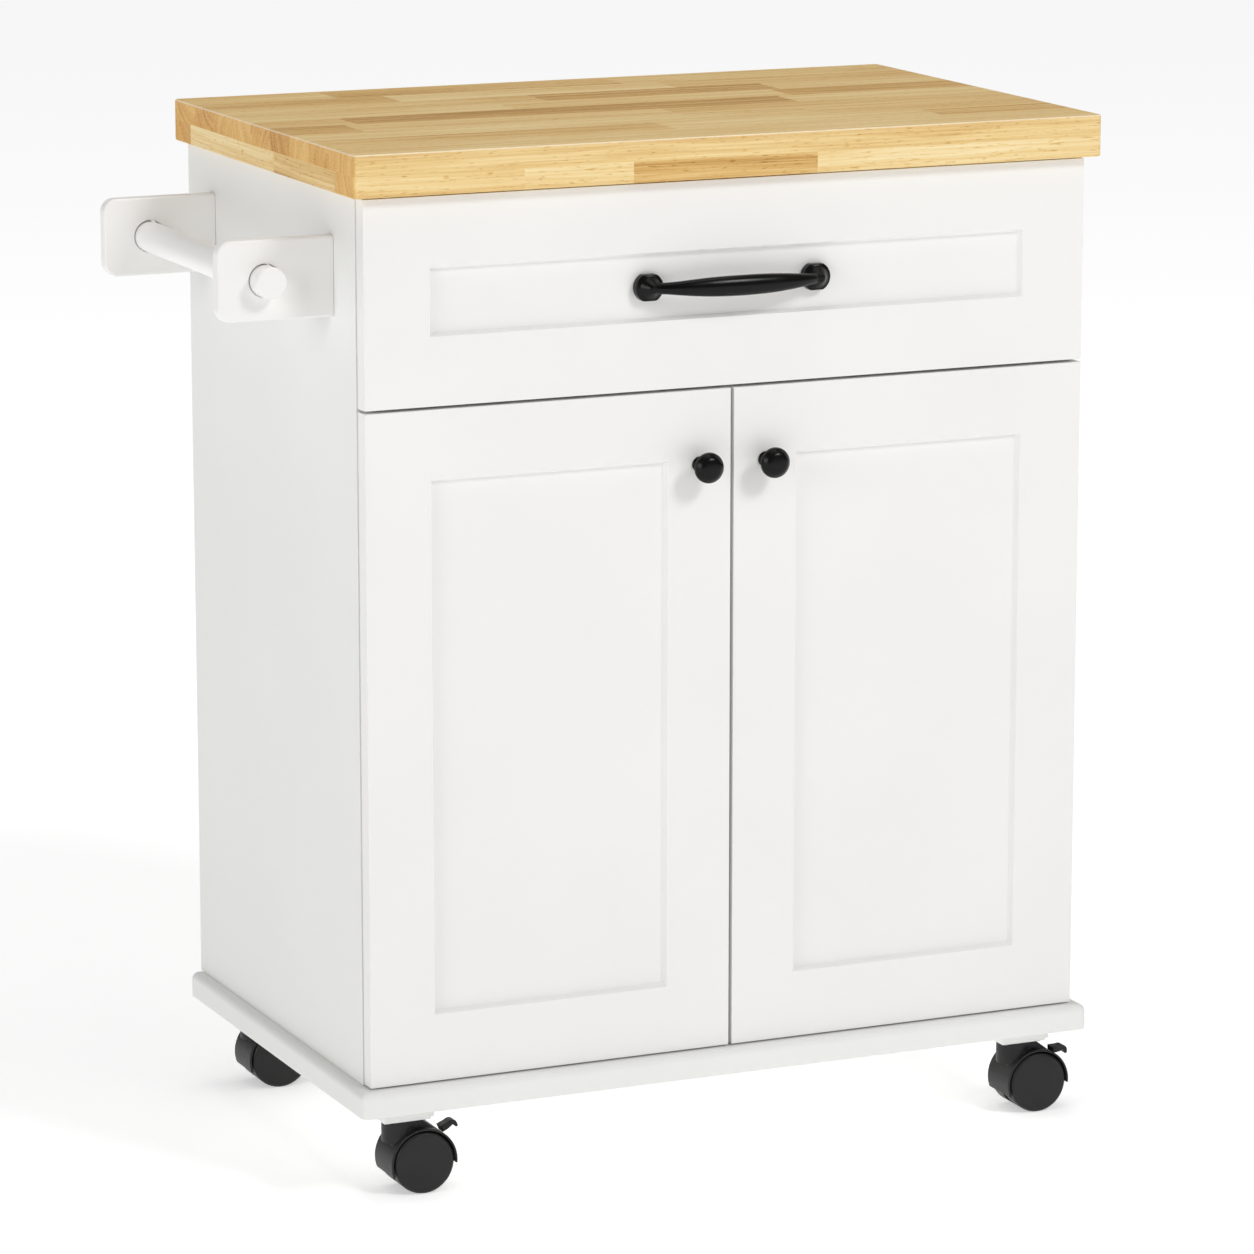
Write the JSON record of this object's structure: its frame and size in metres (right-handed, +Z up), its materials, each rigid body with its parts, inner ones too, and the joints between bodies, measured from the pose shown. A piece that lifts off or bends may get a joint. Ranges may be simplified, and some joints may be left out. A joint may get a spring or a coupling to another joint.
{
  "type": "kitchen cart with butcher block top",
  "caption": "Rolling kitchen island cabinet with a solid wood butcher block worktop, a drawer, a pair of recessed panel doors, a side rack for a paper roll and locking swivel casters.",
  "frame": {"origin": "bottom centre of the whole cart's box: on the floor, midway in width between the rack's outer edge and the worktop's right edge, midway in depth between the knobs' faces and the worktop's rear edge", "axes": "+Z up, the doors and drawer face -Y, +X to the right seen from the front, the rack is on the -X side"},
  "size_m": [0.7388, 0.426, 0.843],
  "materials": {
    "rubberwood": "finger-laid rubberwood staves, clear satin lacquer",
    "white_lacquer": "MDF with off-white satin lacquer",
    "white_board": "board with off-white satin foil",
    "black_metal": "die-cast zinc with satin black powder coat",
    "black_plastic": "black moulded nylon, fine satin texture",
    "zinc_steel": "bright zinc-plated pressed steel",
    "white_enamel": "pressed steel with white stove enamel"
  },
  "bodies": {
    "carcass": {"butcher_top_slab": "rubberwood", "top_strip_front": "rubberwood", "top_strip_back": "rubberwood", "top_strip_left": "rubberwood", "top_strip_right": "rubberwood", "left_side_panel": "white_board", "right_side_panel": "white_board", "back_panel": "white_board", "base_board": "white_board", "top_front_rail": "white_board", "top_back_rail": "white_board", "drawer_divider_rail": "white_board", "middle_shelf": "white_board", "caster_block_front_left": "white_board", "caster_block_front_right": "white_board", "caster_block_back_left": "white_board", "caster_block_back_right": "white_board", "rack_bracket_front": "white_lacquer", "rack_bracket_back": "white_lacquer", "cabinet_slide_left": "zinc_steel", "cabinet_slide_right": "zinc_steel", "left_hinge_arm_lower": "zinc_steel", "left_hinge_arm_upper": "zinc_steel", "right_hinge_arm_lower": "zinc_steel", "right_hinge_arm_upper": "zinc_steel", "caster_plate_front_left": "white_enamel", "caster_plate_front_right": "white_enamel", "caster_plate_back_left": "white_enamel", "caster_plate_back_right": "white_enamel"},
    "drawer": {"drawer_front": "white_lacquer", "drawer_side_left": "white_board", "drawer_side_right": "white_board", "drawer_back": "white_board", "drawer_bottom": "white_board", "drawer_handle": "black_metal", "drawer_slide_left": "zinc_steel", "drawer_slide_right": "zinc_steel"},
    "left_door": {"left_door": "white_lacquer", "left_knob": "black_metal", "left_hinge_cup_lower": "zinc_steel", "left_hinge_cup_upper": "zinc_steel"},
    "right_door": {"right_door": "white_lacquer", "right_knob": "black_metal", "right_hinge_cup_lower": "zinc_steel", "right_hinge_cup_upper": "zinc_steel"},
    "towel_rod": {"towel_rod": "white_lacquer"},
    "caster_front_left": {"caster_hood_front_left": "black_plastic"},
    "wheel_front_front_left": {"wheel_front_front_left": "black_plastic"},
    "wheel_back_front_left": {"wheel_back_front_left": "black_plastic"},
    "caster_front_right": {"caster_hood_front_right": "black_plastic"},
    "wheel_front_front_right": {"wheel_front_front_right": "black_plastic"},
    "wheel_back_front_right": {"wheel_back_front_right": "black_plastic"},
    "caster_back_left": {"caster_hood_back_left": "black_plastic"},
    "wheel_front_back_left": {"wheel_front_back_left": "black_plastic"},
    "wheel_back_back_left": {"wheel_back_back_left": "black_plastic"},
    "caster_back_right": {"caster_hood_back_right": "black_plastic"},
    "wheel_front_back_right": {"wheel_front_back_right": "black_plastic"},
    "wheel_back_back_right": {"wheel_back_back_right": "black_plastic"},
    "brake_left": {"brake_lever_front_left": "black_plastic"},
    "brake_right": {"brake_lever_front_right": "black_plastic"}
  },
  "joints": [
    {"name": "drawer_slide", "type": "slide", "parent": "carcass", "child": "drawer", "axis": [0, -1, 0], "range_m": [0, 0.25]},
    {"name": "left_door_hinge", "type": "hinge", "parent": "carcass", "child": "left_door", "pos_m": [-0.271, -0.187, 0.3686], "axis": [0, 0, -1], "range_deg": [0, 105]},
    {"name": "right_door_hinge", "type": "hinge", "parent": "carcass", "child": "right_door", "pos_m": [0.357, -0.187, 0.3686], "axis": [0, 0, 1], "range_deg": [0, 105]},
    {"name": "towel_rod_pull", "type": "slide", "parent": "carcass", "child": "towel_rod", "axis": [0, -1, 0], "range_m": [0, 0.28]},
    {"name": "caster_front_left_swivel", "type": "hinge", "parent": "carcass", "child": "caster_front_left", "pos_m": [-0.235, -0.154, 0.061], "axis": [0, 0, 1], "continuous": true},
    {"name": "wheel_front_front_left_spin", "type": "hinge", "parent": "caster_front_left", "child": "wheel_front_front_left", "pos_m": [-0.22, -0.154, 0.0255], "axis": [0, 1, 0], "continuous": true},
    {"name": "wheel_back_front_left_spin", "type": "hinge", "parent": "caster_front_left", "child": "wheel_back_front_left", "pos_m": [-0.22, -0.154, 0.0255], "axis": [0, 1, 0], "continuous": true},
    {"name": "caster_front_right_swivel", "type": "hinge", "parent": "carcass", "child": "caster_front_right", "pos_m": [0.321, -0.154, 0.061], "axis": [0, 0, 1], "continuous": true},
    {"name": "wheel_front_front_right_spin", "type": "hinge", "parent": "caster_front_right", "child": "wheel_front_front_right", "pos_m": [0.336, -0.154, 0.0255], "axis": [0, 1, 0], "continuous": true},
    {"name": "wheel_back_front_right_spin", "type": "hinge", "parent": "caster_front_right", "child": "wheel_back_front_right", "pos_m": [0.336, -0.154, 0.0255], "axis": [0, 1, 0], "continuous": true},
    {"name": "caster_back_left_swivel", "type": "hinge", "parent": "carcass", "child": "caster_back_left", "pos_m": [-0.235, 0.173, 0.061], "axis": [0, 0, 1], "continuous": true},
    {"name": "wheel_front_back_left_spin", "type": "hinge", "parent": "caster_back_left", "child": "wheel_front_back_left", "pos_m": [-0.22, 0.173, 0.0255], "axis": [0, 1, 0], "continuous": true},
    {"name": "wheel_back_back_left_spin", "type": "hinge", "parent": "caster_back_left", "child": "wheel_back_back_left", "pos_m": [-0.22, 0.173, 0.0255], "axis": [0, 1, 0], "continuous": true},
    {"name": "caster_back_right_swivel", "type": "hinge", "parent": "carcass", "child": "caster_back_right", "pos_m": [0.321, 0.173, 0.061], "axis": [0, 0, 1], "continuous": true},
    {"name": "wheel_front_back_right_spin", "type": "hinge", "parent": "caster_back_right", "child": "wheel_front_back_right", "pos_m": [0.336, 0.173, 0.0255], "axis": [0, 1, 0], "continuous": true},
    {"name": "wheel_back_back_right_spin", "type": "hinge", "parent": "caster_back_right", "child": "wheel_back_back_right", "pos_m": [0.336, 0.173, 0.0255], "axis": [0, 1, 0], "continuous": true},
    {"name": "brake_left_press", "type": "hinge", "parent": "caster_front_left", "child": "brake_left", "pos_m": [-0.1984, -0.154, 0.0471], "axis": [0, 1, 0], "range_deg": [0, 22]},
    {"name": "brake_right_press", "type": "hinge", "parent": "caster_front_right", "child": "brake_right", "pos_m": [0.3576, -0.154, 0.0471], "axis": [0, 1, 0], "range_deg": [-22, 0]}
  ]
}
